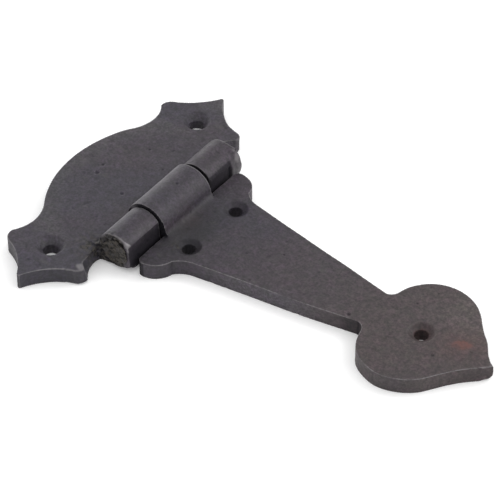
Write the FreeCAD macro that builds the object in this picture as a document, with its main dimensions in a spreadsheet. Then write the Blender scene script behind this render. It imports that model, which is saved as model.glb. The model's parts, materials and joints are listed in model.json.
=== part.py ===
import FreeCAD, Part
import math
import os
import Sketcher

# A T hinge for a cupboard, ledged door or small gate, laid open and flat. +X runs along the strap
# to its spade tip, +Y along the pin, +Z out of the face that the screws enter. The origin is on
# the back plane, straight under the middle of the pin. Millimetres and degrees.

SIZES = [
    # (alias, value, what it is)
    ("plate_thickness", 5.5, "both leaves"),
    # Knuckles
    ("pin_height", 6.3, "pin axis above the back plane"),
    ("barrel_length", 53.0, "over both outer knuckles"),
    ("barrel_half", 26.5, "middle of the hinge to the end of an outer knuckle"),
    ("frame_knuckle_radius", 6.4, "outer knuckles"),
    ("lip_height", 10.3, "where an outer knuckle's round top ends in a lip"),
    ("facet_foot_height", 3.5, "where the flat below the lip ends"),
    ("strap_knuckle_radius", 7.3, "middle knuckle"),
    ("strap_knuckle_left", 11.3, "middle knuckle, towards -Y"),
    ("strap_knuckle_right", 11.1, "middle knuckle, towards +Y"),
    ("gap_left", 11.6, "gap that the middle knuckle turns in, towards -Y"),
    ("gap_right", 12.6, "that gap, towards +Y"),
    ("notch_depth", 7.9, "pin axis to the cross leaf's edge in that gap"),
    ("frame_blend", 1.5, "fillet from the cross leaf up to the outer knuckles"),
    ("strap_blend", 2.2, "fillet from the strap leaf up to the middle knuckle"),
    # Pin
    ("pin_radius", 3.0, "shank, tight in the outer knuckles"),
    ("pin_bore_radius", 3.06, "running fit in the middle knuckle"),
    ("head_radius", 3.7, "peened end, at the knuckle's end face"),
    ("head_angle", 90.0, "countersink that the peened end fills"),
    ("head_root", 25.8, "middle of the pin to the start of that countersink"),
    ("pin_half", 27.1, "middle of the pin to the flat in the middle of a peened end"),
    ("peen_flat", 2.2, "radius of that flat"),
    ("peen_round", 2.5, "from the flat down to the rim"),
    # Screw holes, for No. 8 wood screws
    ("screw_radius", 2.15, "clearance hole"),
    ("ear_sink", 8.6, "countersink diameter in the ears"),
    ("spade_sink", 8.4, "countersink diameter in the spade"),
    ("shoulder_sink", 7.7, "countersink diameter in the strap's shoulders"),
    ("sink_angle", 90.0, "countersinks"),
    ("ear_hole_x", -17.8, ""),
    ("ear_hole_left", 34.5, "from the middle; the two were drilled unevenly"),
    ("ear_hole_right", 36.5, ""),
    ("shoulder_left_x", 15.3, "from the pin; these two are uneven as well"),
    ("shoulder_right_x", 16.6, ""),
    ("shoulder_hole_y", 10.7, ""),
    ("spade_hole_x", 90.3, ""),
    # Half outline of the cross leaf, from the pin round one ear to the middle of the back
    ("half_round", 38.0, "radius of the back edge, about the pin"),
    ("back_x", -38.0, "middle of the back edge"),
    ("heel_x", -5.8, "foot of the ear's inner edge"),
    ("heel_hollow", 10.0, ""),
    ("toe_x", -2.8, "ear corner nearest the strap"),
    ("toe_y", 35.9, ""),
    ("toe_round", 3.0, ""),
    ("front_x", -5.4, ""),
    ("front_y", 39.2, ""),
    ("front_hollow", 19.0, ""),
    ("point_x", -16.9, "tip of the ear"),
    ("point_y", 49.7, ""),
    ("point_round", 0.9, ""),
    ("peak_x", -18.1, ""),
    ("peak_y", 49.8, ""),
    ("rear_hollow", 26.0, ""),
    ("rear_x", -29.0, "back corner of the ear"),
    ("rear_y", 39.9, ""),
    ("rear_round", 4.0, ""),
    ("wing_x", -31.2, ""),
    ("wing_y", 35.8, ""),
    ("neck_hollow", 12.0, ""),
    ("neck_x", -30.8, "where the half-round ends"),
    ("neck_y", 22.3, ""),
    # Half outline of the strap leaf, from the pin along the middle to the tip and back
    ("tip_x", 114.5, "point of the spade"),
    ("blade_hollow", 50.0, ""),
    ("blade_x", 101.4, ""),
    ("blade_y", 14.1, ""),
    ("lobe_round", 13.8, "round side of the spade"),
    ("lobe_x", 76.1, ""),
    ("lobe_y", 10.2, ""),
    ("waist_hollow", 3.5, ""),
    ("waist_x", 73.4, "narrow end of the taper"),
    ("waist_y", 7.2, ""),
    ("taper_x", 20.5, "wide end of the taper"),
    ("taper_y", 16.0, ""),
    ("armpit_hollow", 9.0, ""),
    ("armpit_x", 15.4, ""),
    ("armpit_y", 19.0, ""),
    ("shoulder_round", 7.2, ""),
    ("shoulder_x", 9.4, ""),
    ("shoulder_y", 24.6, ""),
    ("corner_round", 2.2, ""),
    ("inner_x", 6.6, "shoulder edge that faces the outer knuckles"),
    ("inner_y", 23.4, ""),
]
VALUE = {alias: number for alias, number, _ in SIZES}

# Each corner is (x, y, the edge to the next corner): None is a straight edge, ("out", radius) a
# rounded one and ("in", radius) a hollow one. A coordinate is an alias, an alias with a minus
# sign, or 0 on an axis. Corners run anticlockwise.
CROSS_LEAF_HALF = [
    ("back_x", 0, None),
    (0, 0, None),
    (0, "barrel_half", None),
    ("heel_x", "barrel_half", ("in", "heel_hollow")),
    ("toe_x", "toe_y", ("out", "toe_round")),
    ("front_x", "front_y", ("in", "front_hollow")),
    ("point_x", "point_y", ("out", "point_round")),
    ("peak_x", "peak_y", ("in", "rear_hollow")),
    ("rear_x", "rear_y", ("out", "rear_round")),
    ("wing_x", "wing_y", ("in", "neck_hollow")),
    ("neck_x", "neck_y", ("out", "half_round")),
]
STRAP_LEAF_HALF = [
    (0, 0, None),
    ("tip_x", 0, ("in", "blade_hollow")),
    ("blade_x", "blade_y", ("out", "lobe_round")),
    ("lobe_x", "lobe_y", ("in", "waist_hollow")),
    ("waist_x", "waist_y", None),
    ("taper_x", "taper_y", ("in", "armpit_hollow")),
    ("armpit_x", "armpit_y", ("out", "shoulder_round")),
    ("shoulder_x", "shoulder_y", ("out", "corner_round")),
    ("inner_x", "inner_y", None),
    ("inner_x", "strap_knuckle_right", None),
    (0, "strap_knuckle_right", None),
]
PIN_PROFILE = [
    ("-pin_half", 0, None),
    ("pin_half", 0, None),
    ("pin_half", "peen_flat", ("out", "peen_round")),
    ("barrel_half", "head_radius", None),
    ("head_root", "pin_radius", None),
    ("-head_root", "pin_radius", None),
    ("-barrel_half", "head_radius", ("out", "peen_round")),
    ("-pin_half", "peen_flat", None),
]
GAP = [
    ("-notch_depth", "-gap_left", None),
    ("notch_depth", "-gap_left", None),
    ("notch_depth", "gap_right", None),
    ("-notch_depth", "gap_right", None),
]

doc = FreeCAD.newDocument("t_hinge")
sheet = doc.addObject("Spreadsheet::Sheet", "sizes")
for row, (alias, number, note) in enumerate(SIZES, start=1):
    sheet.set(f"A{row}", alias)
    sheet.set(f"B{row}", str(number))
    sheet.set(f"C{row}", note)
    sheet.setAlias(f"B{row}", alias)
doc.recompute()


def value(coordinate):
    """The number that an alias, an alias with a minus sign, or 0 stands for."""
    if coordinate == 0:
        return 0.0
    sign = -1 if coordinate.startswith("-") else 1
    return sign * VALUE[coordinate.lstrip("-")]


def formula(coordinate):
    """The expression that binds a constraint to the sheet."""
    sign = "-" if coordinate.startswith("-") else ""
    return f"{sign}sizes.{coordinate.lstrip('-')}"


def origin_plane(body, role):
    """One of a body's own origin planes."""
    return next(plane for plane in body.Origin.OriginFeatures if plane.Role == role)


def new_sketch(body, name, role, offset=None):
    """A sketch on an origin plane, moved along the plane's normal by an expression if one is given."""
    sketch = body.newObject("Sketcher::SketchObject", name)
    sketch.AttachmentSupport = [(origin_plane(body, role), "")]
    sketch.MapMode = "FlatFace"
    if offset:
        sketch.setExpression("AttachmentOffset.Base.z", offset)
    doc.recompute()
    return sketch


def dimension(sketch, kind, place, coordinate, label):
    """A named driving constraint, bound to the sheet."""
    index = sketch.addConstraint(Sketcher.Constraint(kind, *place, value(coordinate)))
    sketch.renameConstraint(index, label)
    sketch.setExpression(f"Constraints.{label}", formula(coordinate))


def locate(sketch, point, x, y, label):
    """Fixes a point (geometry, end) at sheet coordinates, or on an axis where one is 0."""
    for kind, cross_axis, coordinate in (("DistanceX", -2, x), ("DistanceY", -1, y)):
        if coordinate == 0:
            sketch.addConstraint(Sketcher.Constraint("PointOnObject", *point, cross_axis))
        else:
            dimension(sketch, kind, point, coordinate, f"{label}_{kind[-1]}")


def add_loop(sketch, pieces, smooth_start=False):
    """Adds edges that close a loop and joins them end to end. pieces lists (curve, start point), and
    each edge comes back as (index, its first end, its last end), because an arc may run backwards.
    smooth_start makes the loop tangent where it closes."""
    placed = []
    for curve, start in pieces:
        index = sketch.addGeometry(curve, False)
        first = 1 if sketch.getPoint(index, 1).isEqual(start, 1e-6) else 2
        placed.append((index, first, 3 - first))
    for before, after in zip(placed[-1:] + placed[:-1], placed):
        kind = "Tangent" if smooth_start and after is placed[0] else "Coincident"
        ends = (before[0], before[2], after[0], after[1])
        sketch.addConstraint(Sketcher.Constraint(kind, *ends))
    return placed


def arc_between(start, end, radius, way):
    """The short arc between two points that bulges out of an anticlockwise outline, or into it."""
    chord = end - start
    sagitta = radius - math.sqrt(radius**2 - (chord.Length / 2) ** 2)
    outward = FreeCAD.Vector(chord.y, -chord.x, 0).normalize()
    side = 1 if way == "out" else -1
    return Part.Arc(start, (start + end) / 2 + outward * side * sagitta, end)


def draw_outline(sketch, corners):
    """A closed outline with every corner and radius bound to the sheet."""
    points = [FreeCAD.Vector(value(x), value(y), 0) for x, y, _ in corners]
    pieces = []
    for start, end, (_, _, edge) in zip(points, points[1:] + points[:1], corners):
        if edge is None:
            curve = Part.LineSegment(start, end)
        else:
            curve = arc_between(start, end, value(edge[1]), edge[0])
        pieces.append((curve, start))
    for number, ((index, first, _), (x, y, edge)) in enumerate(zip(add_loop(sketch, pieces), corners)):
        locate(sketch, (index, first), x, y, f"corner_{number}")
        if edge is not None:
            dimension(sketch, "Radius", (index,), edge[1], f"edge_{number}_R")
    doc.recompute()


def draw_circle(sketch, x, y, radius, label):
    centre = FreeCAD.Vector(value(x), value(y), 0)
    circle = Part.Circle(centre, FreeCAD.Vector(0, 0, 1), value(radius))
    index = sketch.addGeometry(circle, False)
    locate(sketch, (index, 3), x, y, label)
    dimension(sketch, "Radius", (index,), radius, f"{label}_R")
    doc.recompute()


def knuckle_point(radius, height, side):
    """The point of a knuckle's circle at a height, on the +X side for side 1 and -X for -1."""
    rise = height - value("pin_height")
    return FreeCAD.Vector(side * math.sqrt(value(radius) ** 2 - rise**2), height, 0)


def draw_knuckle(sketch, radius, blend, side, faceted):
    """A knuckle's section, X across and Z up: round over the top, flat on the back, and run out into
    its leaf, which lies on one side of the pin (1 for +X), by a hollow blend. A faceted knuckle's
    round top ends in a lip on the other side, above a flat."""
    axis = FreeCAD.Vector(0, value("pin_height"), 0)
    crown = axis + FreeCAD.Vector(0, value(radius), 0)
    rise = value("plate_thickness") + value(blend) - axis.y
    reach = math.sqrt((value(radius) + value(blend)) ** 2 - rise**2)
    blend_centre = axis + FreeCAD.Vector(side * reach, rise, 0)
    inward = (axis - blend_centre).normalize()
    meeting = blend_centre + inward * value(blend)
    foot = blend_centre - FreeCAD.Vector(0, value(blend), 0)
    halfway = (inward - FreeCAD.Vector(0, 1, 0)).normalize()
    blend_arc = Part.Arc(meeting, blend_centre + halfway * value(blend), foot)
    heel = FreeCAD.Vector(foot.x, 0, 0)
    back_end = knuckle_point(radius, 0, -side)
    pieces = [
        (blend_arc, meeting),
        (Part.LineSegment(foot, heel), foot),
        (Part.LineSegment(heel, back_end), heel),
    ]
    if faceted:
        low_end = knuckle_point(radius, value("facet_foot_height"), -side)
        lip = knuckle_point(radius, value("lip_height"), -side)
        low_middle = knuckle_point(radius, low_end.y / 2, -side)
        pieces += [
            (Part.Arc(back_end, low_middle, low_end), back_end),
            (Part.LineSegment(low_end, lip), low_end),
            (Part.Arc(lip, crown, meeting), lip),
        ]
    else:
        pieces.append((Part.Arc(back_end, crown, meeting), back_end))
    loop = add_loop(sketch, pieces, smooth_start=True)
    hollow, riser, back = loop[:3]
    top = loop[-1]
    rules = [
        ("Vertical", hollow[0], 3, hollow[0], hollow[2]),
        ("Vertical", riser[0]),
        ("PointOnObject", riser[0], riser[2], -1),
        ("PointOnObject", back[0], back[2], -1),
    ]
    if faceted:
        low = loop[3]
        rules += [("Coincident", low[0], 3, top[0], 3), ("Equal", low[0], top[0])]
        dimension(sketch, "DistanceY", low[:1] + low[2:], "facet_foot_height", "facet_foot")
        dimension(sketch, "DistanceY", top[:2], "lip_height", "lip")
    for rule in rules:
        sketch.addConstraint(Sketcher.Constraint(*rule))
    locate(sketch, (top[0], 3), 0, "pin_height", "axis")
    dimension(sketch, "Radius", top[:1], radius, "knuckle_R")
    dimension(sketch, "Radius", hollow[:1], blend, "blend_R")
    dimension(sketch, "DistanceY", riser[:2], "plate_thickness", "leaf_face")
    doc.recompute()


def feature(body, kind, name, sketch=None, settings=None, **sizes):
    """A PartDesign feature with plain settings, and with sizes bound to the sheet."""
    made = body.newObject(f"PartDesign::{kind}", name)
    if sketch:
        made.Profile = sketch
        doc.recompute()
    for key, setting in (settings or {}).items():
        setattr(made, key, setting)
    for key, expression in sizes.items():
        made.setExpression(key, expression)
    body.Tip = made
    doc.recompute()
    return made


def cut(body, kind, name, sketch, settings=None, **sizes):
    """A feature that removes material: the build stops if it removed none."""
    before = body.Shape.Volume
    feature(body, kind, name, sketch, settings, **sizes)
    if body.Shape.Volume > before - 1:
        raise RuntimeError(f"{name} cut nothing")


def start_leaf(name, corners):
    """A body with a leaf's plate: half of its outline, padded and mirrored across the XZ plane."""
    body = doc.addObject("PartDesign::Body", name)
    sketch = new_sketch(body, f"{name}_half_outline", "XY_Plane")
    draw_outline(sketch, corners)
    half = feature(body, "Pad", f"{name}_half_plate", sketch, Length="sizes.plate_thickness")
    mirrored = body.newObject("PartDesign::Mirrored", f"{name}_plate")
    mirrored.Originals = [half]
    mirrored.MirrorPlane = (origin_plane(body, "XZ_Plane"), [""])
    body.Tip = mirrored
    doc.recompute()
    return body


def drill(body, name, sink, holes):
    """Countersunk screw holes, entered from the leaf's face. holes lists (label, x, y)."""
    sketch = new_sketch(body, f"{name}_centres", "XY_Plane", "sizes.plate_thickness")
    for label, x, y in holes:
        draw_circle(sketch, x, y, "screw_radius", label)
    settings = {"DepthType": "ThroughAll", "HoleCutType": "Countersink", "HoleCutCustomValues": True}
    bound = {
        "Diameter": "2 * sizes.screw_radius",
        "HoleCutDiameter": sink,
        "HoleCutCountersinkAngle": "sizes.sink_angle",
    }
    cut(body, "Hole", name, sketch, settings, **bound)


def build_cross_leaf():
    """The leaf on the frame: a half-round plate with two fishtail ears, and the outer knuckles."""
    body = start_leaf("cross_leaf", CROSS_LEAF_HALF)
    section = new_sketch(body, "frame_knuckle_section", "XZ_Plane")
    draw_knuckle(section, "frame_knuckle_radius", "frame_blend", -1, faceted=True)
    symmetric = {"SideType": "Symmetric"}
    feature(body, "Pad", "frame_barrel", section, symmetric, Length="sizes.barrel_length")
    gap = new_sketch(body, "gap_outline", "XY_Plane")
    draw_outline(gap, GAP)
    cut(body, "Pocket", "knuckle_gap", gap, {"Type": "ThroughAll", "SideType": "Symmetric"})
    for side, offset in (("left", "sizes.barrel_half"), ("right", "-sizes.barrel_half")):
        centre = new_sketch(body, f"pin_hole_{side}_centre", "XZ_Plane", offset)
        draw_circle(centre, 0, "pin_height", "pin_radius", "pin")
        settings = {
            "DepthType": "Dimension",
            "HoleCutType": "Countersink",
            "HoleCutCustomValues": True,
            "DrillPoint": "Flat",
            "Reversed": side == "right",
        }
        bound = {
            "Depth": "sizes.barrel_half",
            "Diameter": "2 * sizes.pin_radius",
            "HoleCutDiameter": "2 * sizes.head_radius",
            "HoleCutCountersinkAngle": "sizes.head_angle",
        }
        cut(body, "Hole", f"pin_hole_{side}", centre, settings, **bound)
    ears = [("left", "ear_hole_x", "-ear_hole_left"), ("right", "ear_hole_x", "ear_hole_right")]
    drill(body, "ear_holes", "sizes.ear_sink", ears)
    return body


def build_strap_leaf():
    """The leaf on the door: shoulders, a tapered strap with a spade end, and the middle knuckle."""
    body = start_leaf("strap_leaf", STRAP_LEAF_HALF)
    section = new_sketch(body, "strap_knuckle_section", "XZ_Plane")
    draw_knuckle(section, "strap_knuckle_radius", "strap_blend", 1, faceted=False)
    two_sides = {"SideType": "Two sides", "Type2": "Length"}
    bound = {"Length": "sizes.strap_knuckle_left", "Length2": "sizes.strap_knuckle_right"}
    feature(body, "Pad", "strap_knuckle", section, two_sides, **bound)
    bore = new_sketch(body, "pin_bore_section", "XZ_Plane")
    draw_circle(bore, 0, "pin_height", "pin_bore_radius", "bore")
    cut(body, "Pocket", "pin_bore", bore, {"Type": "ThroughAll", "SideType": "Symmetric"})
    shoulders = [
        ("left", "shoulder_left_x", "-shoulder_hole_y"),
        ("right", "shoulder_right_x", "shoulder_hole_y"),
    ]
    drill(body, "shoulder_holes", "sizes.shoulder_sink", shoulders)
    drill(body, "spade_hole", "sizes.spade_sink", [("spade", "spade_hole_x", 0)])
    return body


def build_hinge_pin():
    """The pin: a plain shank, with both ends peened into the outer knuckles."""
    body = doc.addObject("PartDesign::Body", "hinge_pin")
    profile = new_sketch(body, "pin_profile", "YZ_Plane")
    draw_outline(profile, PIN_PROFILE)
    feature(body, "Revolution", "turned_pin", profile, {"ReferenceAxis": (profile, ["H_Axis"])})
    body.setExpression("Placement.Base.z", "sizes.pin_height")
    doc.recompute()
    return body


def check(bodies):
    """Stops the build if anything in the document failed."""
    for made in doc.Objects:
        if {"Invalid", "Error"} & set(made.State):
            raise RuntimeError(f"{made.Name} failed: {made.State}")
    for body in bodies:
        if body.Shape.isNull() or not body.Shape.isValid() or len(body.Shape.Solids) != 1:
            raise RuntimeError(f"{body.Label} isn't one valid solid")


bodies = [build_cross_leaf(), build_strap_leaf(), build_hinge_pin()]
check(bodies)
os.makedirs("parts", exist_ok=True)
for body in bodies:
    body.Shape.exportStep(f"parts/{body.Label}.step")
    box = body.Shape.BoundBox
    print(
        f"{body.Label}: {body.Shape.Volume:.0f} mm3,",
        f"x {box.XMin:.1f}..{box.XMax:.1f}, y {box.YMin:.1f}..{box.YMax:.1f}, z {box.ZMin:.1f}..{box.ZMax:.1f}",
    )
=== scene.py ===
import json
import math

import bmesh
import bpy
import numpy as np
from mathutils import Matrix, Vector, noise


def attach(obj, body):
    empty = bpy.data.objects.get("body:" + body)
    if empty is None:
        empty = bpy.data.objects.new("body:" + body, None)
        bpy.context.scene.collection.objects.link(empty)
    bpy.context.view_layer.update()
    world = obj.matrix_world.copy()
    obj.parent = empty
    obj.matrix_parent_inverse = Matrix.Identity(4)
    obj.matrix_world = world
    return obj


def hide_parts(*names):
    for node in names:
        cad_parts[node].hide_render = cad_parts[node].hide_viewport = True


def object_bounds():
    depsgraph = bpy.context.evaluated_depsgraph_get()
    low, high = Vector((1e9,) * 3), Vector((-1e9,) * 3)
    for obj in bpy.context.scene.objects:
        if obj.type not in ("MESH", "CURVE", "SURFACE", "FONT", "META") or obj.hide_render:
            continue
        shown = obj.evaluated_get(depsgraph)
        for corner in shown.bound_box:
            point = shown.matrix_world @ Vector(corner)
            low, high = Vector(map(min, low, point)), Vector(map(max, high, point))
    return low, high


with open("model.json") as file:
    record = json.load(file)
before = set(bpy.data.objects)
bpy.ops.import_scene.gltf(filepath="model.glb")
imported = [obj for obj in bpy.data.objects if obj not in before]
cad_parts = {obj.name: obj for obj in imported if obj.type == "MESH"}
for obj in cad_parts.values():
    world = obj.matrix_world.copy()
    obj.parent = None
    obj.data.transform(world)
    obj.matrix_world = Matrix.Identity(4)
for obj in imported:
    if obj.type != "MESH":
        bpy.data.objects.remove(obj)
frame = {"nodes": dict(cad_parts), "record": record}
cad_box = [list(corner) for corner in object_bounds()]
nodes = frame["nodes"]
scene = bpy.context.scene
MM = 0.001

# ---------------------------------------------------------------- camera, floor and light

CAMERA_PLACE = (0.35075, -0.43536, 0.50472)
CAMERA_TILT = math.radians(47.2)
CAMERA_TURN = math.radians(36.4)
CAMERA_LENS = 180
CAMERA_SENSOR = 36
LAMP_TARGET = (0.03, 0, 0)
WHITE = (1, 1, 1, 1)
SKY_STRENGTH = 1.12
FLOOR_SIZE = 6
FLOOR_COLOUR = (0.97, 0.97, 0.97, 1)
FLOOR_ROUGHNESS = 0.9
FLOOR_GLOW = 0.1


def add_object(name, data):
    """Adds an object to the scene."""
    made = bpy.data.objects.new(name, data)
    scene.collection.objects.link(made)
    return made


def add_camera():
    """A long lens that looks down from the strap's side, nearest the -Y ear."""
    camera = add_object("camera", bpy.data.cameras.new("camera"))
    camera.location = CAMERA_PLACE
    camera.rotation_euler = (CAMERA_TILT, 0, CAMERA_TURN)
    camera.data.lens = CAMERA_LENS
    camera.data.sensor_width = CAMERA_SENSOR
    scene.camera = camera
    scene.view_settings.view_transform = "Standard"


def add_lamp(name, place, width, height, watts):
    """A soft rectangular lamp that shines at the hinge."""
    lamp = bpy.data.lights.new(name, "AREA")
    lamp.shape = "RECTANGLE"
    lamp.size = width
    lamp.size_y = height
    lamp.energy = watts
    made = add_object(name, lamp)
    made.location = place
    made.rotation_mode = "QUATERNION"
    made.rotation_quaternion = (Vector(LAMP_TARGET) - made.location).to_track_quat("-Z", "Y")


def add_sky():
    """White light from all round."""
    world = bpy.data.worlds.new("studio")
    world.use_nodes = True
    sky = world.node_tree.nodes["Background"]
    sky.inputs["Color"].default_value = WHITE
    sky.inputs["Strength"].default_value = SKY_STRENGTH
    scene.world = world


def add_floor():
    """A pale floor at the hinge's back."""
    bpy.ops.mesh.primitive_plane_add(size=FLOOR_SIZE, location=(0, 0, cad_box[0][2]))
    floor = bpy.context.object
    floor.name = "floor"
    finish = bpy.data.materials.new("pale_floor")
    finish.use_nodes = True
    shader = finish.node_tree.nodes["Principled BSDF"]
    shader.inputs["Base Color"].default_value = FLOOR_COLOUR
    shader.inputs["Roughness"].default_value = FLOOR_ROUGHNESS
    shader.inputs["Emission Color"].default_value = WHITE
    shader.inputs["Emission Strength"].default_value = FLOOR_GLOW
    floor.data.materials.append(finish)


add_camera()
add_lamp("softbox_left", (-0.85, 0.30, 0.13), 0.7, 0.22, 1.7)
add_lamp("softbox_right", (0.36, 0.35, 0.38), 0.35, 0.25, 1.1)
add_sky()
add_floor()

# ---------------------------------------------------------------- materials

# The wax over the iron, with paler and darker wax for painted light and painted shade
COOL_WAX = (0.0197, 0.0166, 0.0260, 1)
WARM_WAX = (0.0245, 0.0182, 0.0256, 1)
BROWN_WAX = (0.0372, 0.0262, 0.0250, 1)
# Painted light: paler, browner wax on the spade's far lobe
PAINTED_LIGHT_WAX = (0.066, 0.053, 0.050, 1)
PALE_WAX = (0.062, 0.061, 0.054, 1)
# Painted shade: the near ear's walls and the strap beside the middle knuckle
PAINTED_SHADE_WAX = (0.0068, 0.0060, 0.0094, 1)
# Painted light: walls that face -Y, and the countersinks
PAINTED_SIDE_LIGHT_WAX = (0.058, 0.053, 0.064, 1)
THIN_WAX = (0.068, 0.064, 0.060, 1)
VIOLET = (1.06, 0.965, 1.07, 1)
OLIVE = (0.96, 1.025, 0.94, 1)
# What wear and weather left, with painted shade mixed into the dirt and painted highlights on the iron
RUST = (0.105, 0.034, 0.026, 1)
DIRT_AND_SHADE_COLOUR = (0.0085, 0.0075, 0.0115, 1)
PAINTED_HIGHLIGHT_IRON = (0.15, 0.14, 0.155, 1)
WORN_AND_GLINT_IRON = (0.22, 0.21, 0.215, 1)
# The hacked ends
BLACK_DIRT = (0.002, 0.0015, 0.0015, 1)
BROWN_DIRT = (0.050, 0.043, 0.036, 1)
BARE_SPOT = (0.045, 0.041, 0.041, 1)
# x in metres between which the wax turns from violet to brown
BROWN_FROM, BROWN_TO = 0.022, 0.085


class Paint:
    """Short forms for building a node material."""

    def __init__(self, name):
        self.material = bpy.data.materials.new(name)
        self.material.use_nodes = True
        self.tree = self.material.node_tree
        self.shader = self.tree.nodes["Principled BSDF"]
        self.place = self.add("ShaderNodeTexCoord").outputs["Object"]

    def add(self, kind, **settings):
        made = self.tree.nodes.new(kind)
        for key, setting in settings.items():
            setattr(made, key, setting)
        return made

    def feed(self, socket, source):
        if isinstance(source, bpy.types.NodeSocket):
            self.tree.links.new(source, socket)
        else:
            socket.default_value = source

    def attribute(self, name):
        return self.add("ShaderNodeAttribute", attribute_name=name).outputs["Fac"]

    def noise(self, size, detail=4.0, rough=0.55, stretch=(1, 1, 1)):
        scaled = self.add("ShaderNodeMapping")
        scaled.inputs["Scale"].default_value = stretch
        self.feed(scaled.inputs["Vector"], self.place)
        made = self.add("ShaderNodeTexNoise")
        self.feed(made.inputs["Vector"], scaled.outputs["Vector"])
        made.inputs["Scale"].default_value = 1 / size
        made.inputs["Detail"].default_value = detail
        made.inputs["Roughness"].default_value = rough
        return made.outputs["Fac"]

    def math(self, operation, a, b=0.0, clamp=False):
        made = self.add("ShaderNodeMath", operation=operation, use_clamp=clamp)
        self.feed(made.inputs[0], a)
        self.feed(made.inputs[1], b)
        return made.outputs[0]

    def range(self, source, low, high, to_low=0.0, to_high=1.0):
        made = self.add("ShaderNodeMapRange", interpolation_type="SMOOTHSTEP")
        self.feed(made.inputs["Value"], source)
        made.inputs["From Min"].default_value = low
        made.inputs["From Max"].default_value = high
        made.inputs["To Min"].default_value = to_low
        made.inputs["To Max"].default_value = to_high
        return made.outputs["Result"]

    def mix(self, amount, a, b, blend="MIX"):
        made = self.add("ShaderNodeMix", data_type="RGBA", blend_type=blend)
        self.feed(made.inputs["Factor"], amount)
        self.feed(made.inputs["A"], a)
        self.feed(made.inputs["B"], b)
        return made.outputs["Result"]

    def bump(self, height, distance, strength=1.0, under=None):
        made = self.add("ShaderNodeBump")
        made.inputs["Strength"].default_value = strength
        made.inputs["Distance"].default_value = distance
        self.feed(made.inputs["Height"], height)
        if under is not None:
            self.feed(made.inputs["Normal"], under)
        return made.outputs["Normal"]

    def axis(self, index):
        split = self.add("ShaderNodeSeparateXYZ")
        self.feed(split.inputs[0], self.place)
        return split.outputs[index]


def hacked_colour(paint):
    """Old dirt in a hammered end, with bare spots between."""
    blotch = paint.range(paint.noise(1.1 * MM, 4, 0.7), 0.42, 0.56)
    dirty = paint.mix(blotch, BLACK_DIRT, BROWN_DIRT)
    spots = paint.range(paint.noise(2.4 * MM, 3), 0.52, 0.66)
    return paint.mix(spots, dirty, BARE_SPOT)


def wax_colour(paint):
    """Black wax, bluish and warm by turns and browner towards the spade; paler by its pale mark, and with
    painted light and painted shade from its other marks.
    """
    broad = paint.noise(26 * MM, 3)
    colour = paint.mix(paint.range(broad, 0.35, 0.65), COOL_WAX, WARM_WAX)
    brown = paint.range(paint.axis(0), BROWN_FROM, BROWN_TO, 0.0, 0.75)
    colour = paint.mix(brown, colour, BROWN_WAX)
    # Painted light on the spade's far lobe
    colour = paint.mix(paint.attribute("painted_light"), colour, PAINTED_LIGHT_WAX)
    colour = paint.mix(paint.attribute("pale"), colour, PALE_WAX)
    # Painted shade on the near ear's walls and beside the middle knuckle
    colour = paint.mix(paint.attribute("painted_shade"), colour, PAINTED_SHADE_WAX)
    # Painted light on walls that face -Y and in the countersinks
    return paint.mix(paint.math("MULTIPLY", paint.attribute("side"), 0.4), colour, PAINTED_SIDE_LIGHT_WAX)


def mottled(paint, colour, mottle, fine, speck):
    """Makes a colour uneven: light and dark spots, and a drift between violet and olive."""
    shade = paint.range(mottle, 0.3, 0.7, 0.84, 1.16)
    shade = paint.math("MULTIPLY", shade, paint.range(fine, 0.3, 0.7, 0.76, 1.28))
    shade = paint.math("MULTIPLY", shade, paint.range(speck, 0.3, 0.7, 0.62, 1.45))
    grey = paint.add("ShaderNodeCombineXYZ")
    for socket in grey.inputs:
        paint.feed(socket, shade)
    colour = paint.mix(1.0, colour, grey.outputs[0], "MULTIPLY")
    tint = paint.range(paint.noise(2.4 * MM, 4, 0.65), 0.32, 0.68)
    return paint.mix(1.0, colour, paint.mix(tint, VIOLET, OLIVE), "MULTIPLY")


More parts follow.
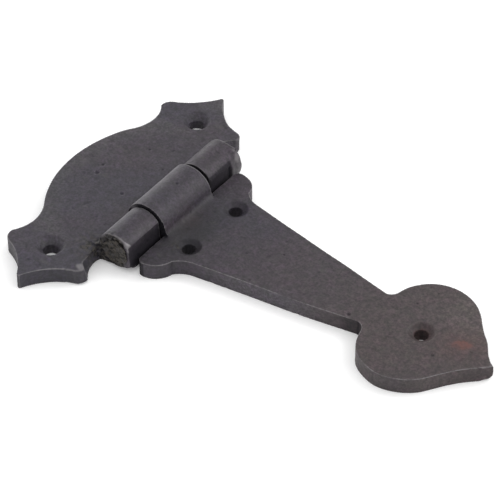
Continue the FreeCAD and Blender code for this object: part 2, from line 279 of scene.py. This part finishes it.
def black_iron():
    """Forged iron under black wax. Its wear, dirt, painted light and painted shade come from the marks
    that each mesh
    stores: edge (worn edges, with painted glints), rub (a painted highlight), grime (dirt and painted
    shade), rough, rust, faded (painted light), pale, cool (painted shade) and side (painted light). Each
    is 0 for none and about 1 for full, and edge is below 0 in a crease."""
    paint = Paint("black_iron")
    mottle = paint.noise(5 * MM, 5, 0.6)
    fine = paint.noise(1.6 * MM, 3, 0.6)
    speck = paint.noise(0.7 * MM, 2, 0.6)
    dirt_and_shade = paint.attribute("dirt_and_shade")
    hacked = paint.attribute("rough")
    colour = mottled(paint, wax_colour(paint), mottle, fine, speck)
    # Hammered flats where the wax is thin
    flats = paint.noise(4.5 * MM, 5, 0.62, (1, 1.7, 1))
    colour = paint.mix(paint.range(flats, 0.56, 0.74, 0.0, 0.30), colour, THIN_WAX)
    rust = paint.math("MULTIPLY", paint.attribute("rust"), paint.range(fine, 0.3, 0.6, 0.4, 1.0))
    colour = paint.mix(rust, colour, RUST)
    colour = paint.mix(hacked, colour, hacked_colour(paint))
    # Dirt by the heel, and painted shade in the gaps, on the knuckles' flats, in creases, in the
    # countersinks and on the near walls
    colour = paint.mix(dirt_and_shade, colour, DIRT_AND_SHADE_COLOUR)
    # Painted highlight along the knuckles' upper flanks
    painted_highlight_amount = paint.math("MULTIPLY", paint.attribute("painted_highlight"), paint.range(fine, 0.3, 0.65, 0.5, 1.0))
    colour = paint.mix(painted_highlight_amount, colour, PAINTED_HIGHLIGHT_IRON)
    # Worn edges, with painted glints at the near knuckle's lip and rims, the near toe's corner and the
    # far knuckle's rim
    worn = paint.range(paint.attribute("edge"), 0.15, 0.8)
    worn = paint.math("MULTIPLY", worn, paint.range(mottle, 0.3, 0.6, 0.25, 1.0))
    colour = paint.mix(paint.math("MULTIPLY", worn, 0.7), colour, WORN_AND_GLINT_IRON)
    paint.feed(paint.shader.inputs["Base Color"], colour)
    rough = paint.range(mottle, 0.25, 0.75, 0.52, 0.66)
    rough = paint.math("SUBTRACT", rough, paint.math("MULTIPLY", worn, 0.12))
    rough = paint.math("ADD", rough, paint.math("MULTIPLY", dirt_and_shade, 0.25), True)
    paint.feed(paint.shader.inputs["Roughness"], rough)
    # Dirt has less gloss than wax, and a dark metallic surface has little; this also deepens the painted
    # shade that the grime mark carries
    dirty = paint.math("MAXIMUM", dirt_and_shade, paint.math("MULTIPLY", hacked, 0.5))
    bare = paint.math("ADD", worn, dirty, True)
    paint.feed(paint.shader.inputs["Metallic"], paint.math("MULTIPLY", bare, 0.7))
    normal = paint.bump(mottle, 0.35 * MM, 0.5)
    normal = paint.bump(fine, 0.12 * MM, 0.5, normal)
    normal = paint.bump(speck, 0.06 * MM, 0.5, normal)
    paint.feed(paint.shader.inputs["Normal"], normal)
    return paint.material


def pin_steel():
    """The pin's peened ends: hammered rough, with old dirt in the dents."""
    paint = Paint("pin_steel")
    mottle = paint.noise(1.3 * MM, 4, 0.65)
    speck = paint.noise(0.5 * MM, 3, 0.6)
    paint.feed(paint.shader.inputs["Base Color"], hacked_colour(paint))
    paint.shader.inputs["Metallic"].default_value = 0.35
    paint.feed(paint.shader.inputs["Roughness"], paint.range(speck, 0.3, 0.7, 0.5, 0.75))
    normal = paint.bump(mottle, 0.5 * MM, 0.8)
    paint.feed(paint.shader.inputs["Normal"], paint.bump(speck, 0.12 * MM, 0.6, normal))
    return paint.material


# ---------------------------------------------------------------- meshes that can be forged


class Skin:
    """An even mesh of a CAD node whose points numpy can move."""

    def __init__(self, node, name, voxel):
        mesh = node.data.copy()
        mesh.materials.clear()
        welded = bmesh.new()
        welded.from_mesh(mesh)
        bmesh.ops.remove_doubles(welded, verts=welded.verts, dist=1e-6)
        welded.to_mesh(mesh)
        welded.free()
        self.piece = add_object(name, mesh)
        even = self.piece.modifiers.new("even", "REMESH")
        even.mode = "SHARP"
        even.use_remove_disconnected = False
        even.octree_depth = math.ceil(math.log2(max(self.piece.dimensions) / voxel / 0.99))
        even.scale = max(self.piece.dimensions) / voxel / 2**even.octree_depth
        ready = self.piece.evaluated_get(bpy.context.evaluated_depsgraph_get())
        self.mesh = bpy.data.meshes.new_from_object(ready)
        self.piece.modifiers.clear()
        self.piece.data = self.mesh
        self.mesh.name = name
        count = len(self.mesh.vertices)
        self.points = np.empty(count * 3)
        self.mesh.vertices.foreach_get("co", self.points)
        self.points = self.points.reshape(-1, 3)
        edges = np.empty(len(self.mesh.edges) * 2, np.int64)
        self.mesh.edges.foreach_get("vertices", edges)
        edges = edges.reshape(-1, 2)
        self.first = np.concatenate([edges[:, 0], edges[:, 1]])
        self.second = np.concatenate([edges[:, 1], edges[:, 0]])
        self.degree = np.bincount(self.first, minlength=count)

    def averaged(self, values):
        """Each point's neighbours' mean, for one column or three."""
        count = len(self.points)
        if values.ndim == 1:
            return np.bincount(self.first, values[self.second], count) / self.degree
        columns = [self.averaged(column) for column in values.T]
        return np.stack(columns, axis=1)

    def soften(self, rounds):
        """Smooths all over."""
        for _ in range(rounds):
            self.points += 0.5 * (self.averaged(self.points) - self.points)
        self.write()

    def relax(self, amount, rounds):
        """Smooths where amount says."""
        for _ in range(rounds):
            self.points += (0.5 * amount)[:, None] * (self.averaged(self.points) - self.points)
        self.write()

    def write(self):
        """Puts the points into the mesh."""
        self.mesh.vertices.foreach_set("co", self.points.ravel())
        self.mesh.update()

    def normals(self):
        """The points' normals as last written."""
        flat = np.empty(len(self.points) * 3)
        self.mesh.vertices.foreach_get("normal", flat)
        return flat.reshape(-1, 3)

    def move(self, depth):
        """Moves points inwards along their normals."""
        self.points -= self.normals() * depth[:, None]
        self.write()

    def convexity(self, rounds):
        """How far each point stands out of its surroundings, in metres."""
        spread = self.points.copy()
        for _ in range(rounds):
            spread += 0.5 * (self.averaged(spread) - spread)
        return ((self.points - spread) * self.normals()).sum(axis=1)

    def store(self, name, values):
        """Stores a mark for the material to read."""
        layer = self.mesh.attributes.new(name, "FLOAT", "POINT")
        layer.data.foreach_set("value", np.asarray(values, float))

    def finish(self, body, node, slot, material):
        """Keeps the mesh inside the CAD's box and puts it in its node's place."""
        self.points = np.clip(self.points, cad_box[0], cad_box[1])
        self.write()
        self.mesh.polygons.foreach_set("use_smooth", np.ones(len(self.mesh.polygons), bool))
        self.mesh.materials.append(material)
        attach(self.piece, body)
        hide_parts(node)


def grain(points, size, seed):
    """Smooth noise from -1 to 1 with features of a size in metres."""
    shift = Vector((7.3 * seed, -3.1 * seed, 5.7 * seed))
    return np.array([noise.noise(Vector(p) / size + shift) for p in points])


def ramp(values, low, high):
    """0 below low, 1 above high, and a smooth rise between."""
    t = np.clip((values - low) / (high - low), 0, 1)
    return t * t * (3 - 2 * t)


def near(values, middle, reach):
    """1 within half of reach of a value, fading to 0."""
    return 1 - ramp(np.abs(values - middle), reach * 0.5, reach)


def blob(skin, middle, reach_x, reach_y):
    """1 at a place on the leaf, fading out around it, all in mm."""
    x, y, _ = skin.points.T / MM
    return np.exp(-(((x - middle[0]) / reach_x) ** 2) - ((y - middle[1]) / reach_y) ** 2)


# ---------------------------------------------------------------- sizes and places, in mm


def mount(name):
    """A mount's x and y, and its other sizes, from the record."""
    found = next(row for row in frame["record"]["mounts"] if row["name"] == name)
    return found["pos_m"][0] / MM, found["pos_m"][1] / MM, found["dims"]


EAR_X, EAR_MIDDLE, EAR_DIMS = mount("frame_screws")
EAR_HOLES = [(EAR_X, EAR_MIDDLE + side * EAR_DIMS["spacing_y_mm"] / 2) for side in (-1, 1)]
STRAP_HOLES = [mount(name)[:2] for name in ("shoulder_screw_left", "shoulder_screw_right", "spade_screw")]
SCREW = EAR_DIMS["hole_r_mm"]
EAR_RIM = 4.3
FAR_EAR_DEPTH = 2.3
FAR_EAR_FOOT = 2.5
# Each of the strap's countersinks: its radius and its depth
STRAP_SINKS = ((3.85, 1.35), (3.85, 1.35), (4.2, 1.4))

VOXEL = 0.34 * MM
PIN_VOXEL = 0.22 * MM
PIN_HEIGHT = 6.3
KNUCKLE_END = 26.5
OUTER_RADIUS = 6.4
FLAT_REACH = 5.7
NEAR_TOE = (-5.3, -35.6)
NEAR_TOE_CORNER = (-5.0, -36.5, 5.2)
NEAR_HEEL = (-7.5, -27.6)
FAR_TIP = (-16, 47)
BLUNT_TIP = 114.3
RUST_PATCH = (102.4, 2.5)
# Where the outlines leave symmetry: a place, how far round it, and the shift there
CROSS_NUDGES = (
    ((-2.5, 38.5), 4.5, (1.1, 0.3)),
    ((-11, 45), 4, (0.4, 0.2)),
    ((-34, 22), 9, (-0.5, 0.2)),
    ((-33, 38), 4, (-0.4, 0.1)),
    ((-30, -39), 4, (-0.4, -0.3)),
    ((-12, -48.5), 6, (0.3, -0.4)),
)
STRAP_NUDGES = (
    ((107.5, 7.2), 4.5, (0.9, 0.7)),
    ((104, 13), 4, (0.3, 0.3)),
    ((114.5, 0), 2.5, (0, 0.5)),
    ((80, -18), 6, (-0.5, -0.4)),
    ((88, -22), 5, (0.2, -0.4)),
    ((104, -13), 6, (0.2, -0.3)),
    ((55, -11.5), 14, (0, -0.45)),
    ((60, 10), 10, (0.2, 0.2)),
    ((15, 24.7), 5, (0.8, 0)),
)
# Small pits in the faces: x, y and radius
CROSS_PITS = ((-15.2, -4.0, 0.8), (-27.3, -0.9, 0.9), (-28.2, 3.0, 0.7), (-21, 17, 0.6), (-12, 12, 0.5))
STRAP_PITS = ((1.0, 2.4, 0.7), (69.6, -6.3, 0.8), (40, 3, 0.5), (83, 9, 0.5), (98, -6, 0.6))

# ---------------------------------------------------------------- marks of hand work, and a painted highlight


def hammer(skin, seed):
    """Marks of forging: broad dishes, small dents and a pitted surface, all inwards."""
    points = skin.points
    broad = 0.5 + 0.5 * grain(points, 11 * MM, seed)
    small = 0.5 + 0.5 * grain(points, 4 * MM, seed + 1)
    fine = 0.5 + 0.5 * grain(points, 1.6 * MM, seed + 2)
    pitted = ramp(grain(points, 2.2 * MM, seed + 3), 0.45, 0.75)
    return (0.16 * broad + 0.07 * small + 0.03 * fine + 0.1 * pitted) * MM


def hack(skin, size, seed):
    """Rough marks of a hacked end, from 0 to 1.2."""
    coarse = grain(skin.points, size * MM, seed)
    fine = grain(skin.points, 0.7 * MM, seed + 1)
    return np.clip(0.5 + 0.5 * coarse + 0.35 * fine, 0, 1.2)


def nudge(skin, place, reach, shift):
    """Slides the leaf near a place sideways, all in mm, as hand cutting left it."""
    away = np.hypot(skin.points[:, 0] / MM - place[0], skin.points[:, 1] / MM - place[1]) / reach
    amount = np.exp(-(away**2)) * MM
    skin.points[:, 0] += amount * shift[0]
    skin.points[:, 1] += amount * shift[1]


def pits(skin, places):
    """Small pits in the face, each given by its x, y and radius in mm."""
    x, y, z = skin.points.T / MM
    depth = np.zeros(len(x))
    for across, along, radius in places:
        away = np.hypot(x - across, y - along) / radius
        depth = np.maximum(depth, 0.35 * radius * np.clip(1 - away**2, 0, 1) * (z > 3.5))
    return depth * MM


def edge_values(skin):
    """-1 in a crease to 1 on a worn edge."""
    return np.clip(skin.convexity(6) / (0.12 * MM), -1, 1)


def creases(skin, holes):
    """1 in a crease, apart from the screw holes."""
    return np.clip(-skin.convexity(6) / (0.1 * MM), 0, 1) * off_the_sinks(skin, holes)


def painted_highlight(skin, middle, width, end):
    """A painted highlight along a knuckle: a band of angles about the pin, 0 at the top
    and rising towards +X, that ends at a y in mm."""
    x, y, z = skin.points.T / MM
    height = z - PIN_HEIGHT
    angle = np.degrees(np.arctan2(x, height))
    band = np.exp(-(((angle - middle) / width) ** 2))
    return band * (np.hypot(x, height) > 5.6) * (z > 6.5) * (1 - ramp(y, end - 1, end))


def dirt(skin, place, reach, seed):
    """A speckled patch around a place, in mm."""
    return blob(skin, place, reach, reach) * ramp(grain(skin.points, 1.0 * MM, seed), -0.2, 0.2)


# ---------------------------------------------------------------- screw holes


def from_holes(skin, holes):
    """Each point's distance from the middle of the nearest screw hole, in mm."""
    x, y, _ = skin.points.T / MM
    return np.minimum.reduce([np.hypot(x - across, y - along) for across, along in holes])


def off_the_sinks(skin, holes):
    """1 away from the countersinks' rims, 0 inside them."""
    return ramp(from_holes(skin, holes), 5.0, 6.0)


def off_the_bores(skin, holes):
    """0 on the plain holes' walls and round their feet, which stay as drilled, and 1 elsewhere."""
    return np.maximum(ramp(from_holes(skin, holes), 2.6, 3.4), skin.points[:, 2] / MM > 4.2)


def recut_sink(skin, place, rim, depth, foot):
    """Makes a screw hole's countersink as deep as given, and the plain hole as wide as foot at the
    back, all in mm. Rim is the countersink's radius, which stays."""
    x, y, z = skin.points.T / MM
    across, along = x - place[0], y - place[1]
    away = np.maximum(np.hypot(across, along), 0.1)
    face = np.median(z[(away > rim + 0.6) & (away < rim + 1.4) & (z > 2)])
    cone = rim - SCREW
    deeper = (depth - cone) * np.clip((rim - away) / cone, 0, 1)
    lower = np.where(z > face - cone, z - deeper, z * (face - depth) / (face - cone))
    skin.points[:, 2] = np.where(away < rim, lower, z) * MM
    wider = (foot - SCREW) * (1 - np.clip(z / (face - cone), 0, 1)) * (1 - ramp(away, 2.2, 3.4))
    skin.points[:, 0] += wider * across / away * MM
    skin.points[:, 1] += wider * along / away * MM


# ---------------------------------------------------------------- cross leaf


def set_radius(skin, wanted, amount):
    """Moves points to a distance from the pin's axis, in mm, as far as amount says."""
    across, height = skin.points[:, 0] / MM, skin.points[:, 2] / MM - PIN_HEIGHT
    now = np.maximum(np.hypot(across, height), 0.1)
    scale = 1 + amount * (wanted - now) / now
    skin.points[:, 0] = across * scale * MM
    skin.points[:, 2] = (height * scale + PIN_HEIGHT) * MM


def bend_near_toe(skin):
    """The near ear's toe: further out at its back, and drawn in at its face."""
    z = skin.points[:, 2] / MM
    skin.points[:, 0] += blob(skin, NEAR_TOE, 2.8, 2.8) * (0.5 - 2.2 * ramp(z, 0, 4.8)) * MM


def blunt_near_end(skin):
    """The outer knuckle nearest the camera: squarer underneath, and worn away at its end."""
    x, y, z = skin.points.T / MM
    drop = np.maximum(PIN_HEIGHT - z, 0.01)
    reach = np.hypot(x, drop)
    square = np.minimum(FLAT_REACH * reach / np.maximum(x, 0.01), FLAT_REACH * reach / drop)
    amount = ramp(y, -26, -24) * (1 - ramp(y, -12.2, -11.8))
    amount *= ramp(x, 0.3, 2) * (z < 3.6) * ramp(reach, 4.6, 5.6)
    set_radius(skin, np.minimum(square, 7.6), amount)
    x, y, z = skin.points.T / MM
    lift = 1.2 * ramp(x, -6, 0) + 0.9 * ramp(x, 1, 5)
    skin.points[:, 2] += ramp(-y, 23.6, 26.3) * np.clip(lift - z, 0, None) * MM


def flare_far_end(skin):
    """The outer knuckle at the far end: a shallower flat, and round all the way at its end,
    with its rim spread by hammering."""
    x, y, z = skin.points.T / MM
    height = z - PIN_HEIGHT
    wide = np.minimum(FLAT_REACH, np.sqrt(np.maximum(OUTER_RADIUS**2 - height**2, 1)))
    flat = ramp(y, 12.6, 12.9) * ramp(x, 3.9, 4.8) * ramp(z, 3.2, 4.4) * (z < 10.8)
    skin.points[:, 0] += flat * np.clip(wide - x, 0, None) * MM
    x, y, z = skin.points.T / MM
    reach = np.hypot(x, z - PIN_HEIGHT)
    amount = ramp(y, 22.2, 23.2) * ramp(x, 2.0, 4.0) * ramp(reach, 4.4, 5.4)
    set_radius(skin, 6.5 + 0.6 * ramp(y, 24.4, 25.8), amount)
    skin.points[:, 1] += 0.5 * MM * ramp(y, 24, KNUCKLE_END) * ramp(z, 3, 7) * (np.abs(x) < 8)


def cross_edges_and_glints(skin, normal, heel):
    """Worn edges, with painted highlights at the near knuckle's lip and end rim, at the near toe's corner
    and on the far knuckle's rim; toned down below the lip, on the back wall, on the far flat and where
    dirt lies.
    """
    x, y, z = skin.points.T / MM
    edge = edge_values(skin) * off_the_sinks(skin, EAR_HOLES)
    # Painted highlight: the worn lip shines in a wedge that widens down towards the flat
    turn = np.degrees(np.arctan2(x, z - PIN_HEIGHT))
    width = 0.3 + 1.6 * ramp(turn, 22, 50)
    lip = ramp(-y, KNUCKLE_END - width, KNUCKLE_END - 0.6 * width)
    lip *= ramp(turn, 8, 40) * (1 - ramp(turn, 51, 54)) * (z > PIN_HEIGHT)
    edge += 1.4 * lip * (normal[:, 2] > 0.2)
    # A painted glint at the near toe's top corner
    corner = np.linalg.norm((skin.points / MM - NEAR_TOE_CORNER) / (1.6, 1.1, 1.0), axis=1)
    edge += 0.9 * np.clip(1.3 - corner, 0, 1)
    below_lip = ramp(-y, 25, 26) * ramp(x, 3, 4) * ramp(9 - z, 0, 1)
    edge *= 1 - 0.6 * below_lip
    back_wall = ramp(-normal[:, 0], 0.3, 0.6) * (y < 30)
    edge *= 1 - 0.5 * back_wall
    # A painted highlight along the rim of the near knuckle's end
    rim = ramp(-y, 25.3, 26) * ramp(x, 0, 4) * ramp(z, 9.8, 10.4)
    edge += 0.6 * rim * ramp(np.hypot(x, z - PIN_HEIGHT), 5.5, 6)
    edge *= 1 - np.minimum(heel, 1) * (x < -2)
    far_flat = ramp(y, 12, 13) * (1 - ramp(y, 22, 23)) * ramp(x, 3, 4)
    edge *= 1 - 0.65 * far_flat
    # A painted highlight on the far knuckle's spread rim
    far_rim_glint = ramp(y, 23.4, 24.6) * ramp(x, 4.5, 6)
    return np.clip(edge + 0.55 * far_rim_glint, -1, 1.5)


def cross_dirt_and_shade(skin, normal):
    """Painted shade on the gap's faces, on the knuckles' flats (deepest towards their feet) and in
    creases, and dirt in a speckled patch by the heel.
    """
    x, y, z = skin.points.T / MM
    # Painted shade on the flats that face the strap, deeper towards their feet
    flat = ramp(x, 4.6, 5.2) * ramp(10.6 - z, 0, 0.8) * ramp(np.abs(y), 11, 12.5)
    flat *= (1 - ramp(y, 22.6, 23.6)) * ramp(normal[:, 0], 0.5, 0.9)
    flat *= (0.78 + 0.15 * ramp(7 - z, 0, 4)) * (1 - 0.15 * (y > 0))
    speckled = blob(skin, (-6, -26), 4.5, 2.6) * ramp(grain(skin.points, 0.9 * MM, 42), 0.05, 0.25)
    # Painted shade on the faces of the gaps between the knuckles
    gap_shade = ramp(np.abs(normal[:, 1]), 0.6, 0.9) * (np.abs(y) < 13.2) * (np.abs(y) > 10.5)
    return np.clip(0.9 * gap_shade + flat + 0.5 * creases(skin, EAR_HOLES) + 0.9 * speckled, 0, 1)


def cross_painted_side_light(skin, normal, hacked):
    """Painted light: paler wax on the wall beside the near knuckle, which faces -Y, and in the ears'
    countersinks.
    """
    x, y, z = skin.points.T / MM
    wall = 2 * ramp(-normal[:, 1], 0.3, 0.8) * near(x, -9, 9) * (y > -33) * (1 - hacked)
    wall *= from_holes(skin, EAR_HOLES[:1]) > 5
    dishes = (1 - ramp(from_holes(skin, EAR_HOLES), 3.8, 4.4)) * ramp(z, 1.5, 3)
    return np.maximum(wall, 0.4 * dishes)


def cross_pale(skin, normal):
    """Paler wax along the half-round's rim and at the far ear's tip."""
    x, y, _ = skin.points.T / MM
    back_rim = 0.2 * ramp(np.hypot(x, y), 31, 37) * (np.abs(y) < 31) * (x < 0)
    return (back_rim + 0.28 * blob(skin, FAR_TIP, 5, 4)) * ramp(normal[:, 2], 0.5, 0.9)


def forge_cross_leaf(material):
    """The half-round plate with its two ears and outer knuckles."""
    skin = Skin(nodes["cross_leaf"], "cross_leaf_forged", VOXEL)
    for place, reach, shift in CROSS_NUDGES:
        nudge(skin, place, reach, shift)
    bend_near_toe(skin)
    blunt_near_end(skin)
    flare_far_end(skin)
    skin.soften(1)
    x, y, z = skin.points.T / MM
    skin.relax(ramp(np.abs(y), 22, 23) * (np.abs(x) < 8) * (z < 11.5), 5)
    recut_sink(skin, EAR_HOLES[1], EAR_RIM, FAR_EAR_DEPTH, FAR_EAR_FOOT)
    normal = skin.normals()
    x, y, z = skin.points.T / MM
    end_face = ramp(-y, 24.2, 25.4) * ramp(-normal[:, 1], 0.2, 0.7) * (y > -30)
    end_face *= ramp(3.8 - x, 0, 1.2) * ramp(x, -11, -8)
    heel = 1.2 * blob(skin, NEAR_HEEL, 4.6, 4.2) * ramp(grain(skin.points, 1.6 * MM, 41), -0.4, 0.2)
    hacked = np.maximum(end_face, np.minimum(heel, 1) * (z > 0.5) * (y < -22.5))
    skin.move(hammer(skin, 1) * (1 - end_face))
    skin.move(pits(skin, CROSS_PITS))
    skin.move(0.7 * MM * end_face * hack(skin, 1.5, 31))
    none = np.zeros(len(skin.points))
    # Painted shade on the near ear's walls and underside
    painted_ear_wall_shade = ramp(1 - normal[:, 2], 0.3, 0.7) * (skin.points[:, 1] / MM < -33)
    # Worn edges, with painted glints at the near knuckle's lip and rims and the near toe's corner
    skin.store("edge", cross_edges_and_glints(skin, normal, heel))
    # Painted highlights: a broad band on the near knuckle's upper flank and a faint one by its lip
    skin.store("painted_highlight", 0.9 * painted_highlight(skin, -49, 13, 12) + 0.06 * painted_highlight(skin, 43, 7, -12))
    # Dirt by the heel, and painted shade in the gaps, on the flats and in creases
    skin.store("dirt_and_shade", cross_dirt_and_shade(skin, normal))
    skin.store("rough", hacked)
    skin.store("rust", none)
    skin.store("painted_light", none)
    skin.store("pale", cross_pale(skin, normal))
    skin.store("painted_shade", 0.4 * painted_ear_wall_shade)
    # Painted light on the wall beside the near knuckle and in the ears' countersinks
    skin.store("side", cross_painted_side_light(skin, normal, hacked))
    skin.finish("frame_side", "cross_leaf", "black_iron", material)


# ---------------------------------------------------------------- strap leaf


def strap_dirt_and_shade(skin, wall):
    """Painted shade on the gap's near face, in creases and on stretches of the near wall, and the
    countersinks darker.
    """
    x, y, _ = skin.points.T / MM
    # Painted shade on stretches of the near wall
    painted_wall_shade = 0.08 * wall * ramp(x, 62, 70) + 0.35 * wall * near(x, 73, 6) + 0.1 * wall * ramp(x, 98, 105)
    # Painted shade on the gap's near face
    gap_shade = ramp(-y, 10.6, 11) * ramp(-skin.normals()[:, 1], 0.6, 0.9) * (x < 9)
    dishes = 1 - ramp(from_holes(skin, STRAP_HOLES), 3.5, 4.0)
    return np.clip(0.9 * gap_shade + 0.6 * creases(skin, STRAP_HOLES) + 0.25 * dishes + painted_wall_shade, 0, 1)


def strap_rust(skin):
    """A slanting patch on the spade's far side, a stain round it, and rust in the spade's hole."""
    x, y, z = skin.points.T / MM
    along = (x - RUST_PATCH[0]) * 0.8 + (y - RUST_PATCH[1]) * 0.6
    across = (y - RUST_PATCH[1]) * 0.8 - (x - RUST_PATCH[0]) * 0.6
    patch = ramp(np.exp(-((along / 3.4) ** 2) - (across / 2.1) ** 2), 0.25, 0.75) * (z > 3)
    stain = np.exp(-((along / 8) ** 2) - (across / 6) ** 2)
    knuckle_foot = blob(skin, (9, -1), 3, 7)
    from_bore = from_holes(skin, STRAP_HOLES[2:])
    bore = 1 - ramp(from_bore, 2.3, 2.8)
    dish = 1 - ramp(from_bore, 3.5, 4.2)
    return 0.6 * patch + 0.22 * stain + 0.07 * knuckle_foot + 0.22 * bore + 0.08 * dish


def forge_strap_leaf(material):
    """The tapered strap with its shoulders, spade and middle knuckle."""
    skin = Skin(nodes["strap_leaf"], "strap_leaf_forged", VOXEL)
    for place, reach, shift in STRAP_NUDGES:
        nudge(skin, place, reach, shift)
    x, y, z = skin.points.T / MM
    knuckle_foot = near(x, 9.6, 7) * ramp(x, 6.9 + 0.9 * (np.abs(y) > 11), 8.2)
    knuckle_foot *= ramp(z, 4.6, 5.4) * (1 - ramp(np.abs(y), 12, 15))
    skin.relax(knuckle_foot, 90)
    skin.relax(ramp(x, 111.5, 113) * (0.4 + 0.6 * ramp(3 - z, 0, 1)), 25)
    for hole, (rim, depth) in zip(STRAP_HOLES, STRAP_SINKS):
        recut_sink(skin, hole, rim, depth, SCREW)
    blunt = BLUNT_TIP - 0.2 * np.clip(2.6 - skin.points[:, 2] / MM, 0, None) ** 2
    skin.points[:, 0] = np.minimum(skin.points[:, 0], blunt * MM)
    skin.soften(1)
    skin.move(hammer(skin, 9) * off_the_bores(skin, STRAP_HOLES))
    skin.move(pits(skin, STRAP_PITS))
    normal = skin.normals()
    x, y, z = skin.points.T / MM
    wall = ramp(-normal[:, 1], 0.5, 0.9)
    # Painted shade on the strap beside the middle knuckle, on its near side
    painted_hollow_shade = (1 - ramp(z, 5.9, 7.2)) * blob(skin, (11.5, -6), 10.5, 15) * (1 - 0.5 * ramp(x, 16, 20))
    # Painted light on the near walls, between x 20 and 65 mm and round x 88 mm
    painted_wall_light = ramp(x, 20, 40) * (1 - ramp(x, 50, 65)) + 0.3 * near(x, 88, 12)
    shoulder_dirt = dirt(skin, (12.4, -12.6), 1.6, 43)
    spade_dirt = 0.7 * dirt(skin, (87.4, -1.0), 1.9, 44)
    # Painted light: paler, browner wax on the top of the spade's far lobe
    painted_far_lobe_light = ramp(x, 84, 98) * ramp(y, 0, 14) * ramp(normal[:, 2], 0.5, 0.9)
    skin.store("edge", edge_values(skin) * off_the_sinks(skin, STRAP_HOLES))
    # Painted highlight along the middle knuckle's upper flank
    skin.store("painted_highlight", 0.9 * painted_highlight(skin, -49, 13, 14))
    # Painted shade in the gap, in creases and on the near wall; the countersinks darker
    skin.store("dirt_and_shade", strap_dirt_and_shade(skin, wall))
    skin.store("rough", np.maximum(shoulder_dirt, spade_dirt))
    skin.store("rust", strap_rust(skin))
    skin.store("painted_shade", painted_hollow_shade)
    skin.store("side", wall * painted_wall_light)
    skin.store("pale", np.zeros(len(x)))
    skin.store("painted_light", 0.5 * painted_far_lobe_light)
    skin.finish("strap", "strap_leaf", "black_iron", material)


# ---------------------------------------------------------------- pin


def forge_pin(material):
    """The pin, with its ends spread unevenly and hammered rough."""
    skin = Skin(nodes["hinge_pin"], "hinge_pin_peened", PIN_VOXEL)
    _, y, z = skin.points.T / MM
    spread = 0.3 + 0.3 * grain(skin.points, 2.4 * MM, 23)
    head = 1 + spread * ramp(np.abs(y), 26.0, 26.6) * (1 - 0.4 * ramp(y, 0, 1))
    skin.points[:, 0] *= head
    skin.points[:, 2] = (PIN_HEIGHT + (z - PIN_HEIGHT) * head) * MM
    skin.soften(2)
    ends = ramp(np.abs(skin.points[:, 1] / MM), 25.2, 26.2)
    skin.move(0.8 * MM * ends * hack(skin, 1.3, 21))
    skin.finish("frame_side", "hinge_pin", "pin_steel", material)


iron = black_iron()
forge_cross_leaf(iron)
forge_strap_leaf(iron)
forge_pin(pin_steel())
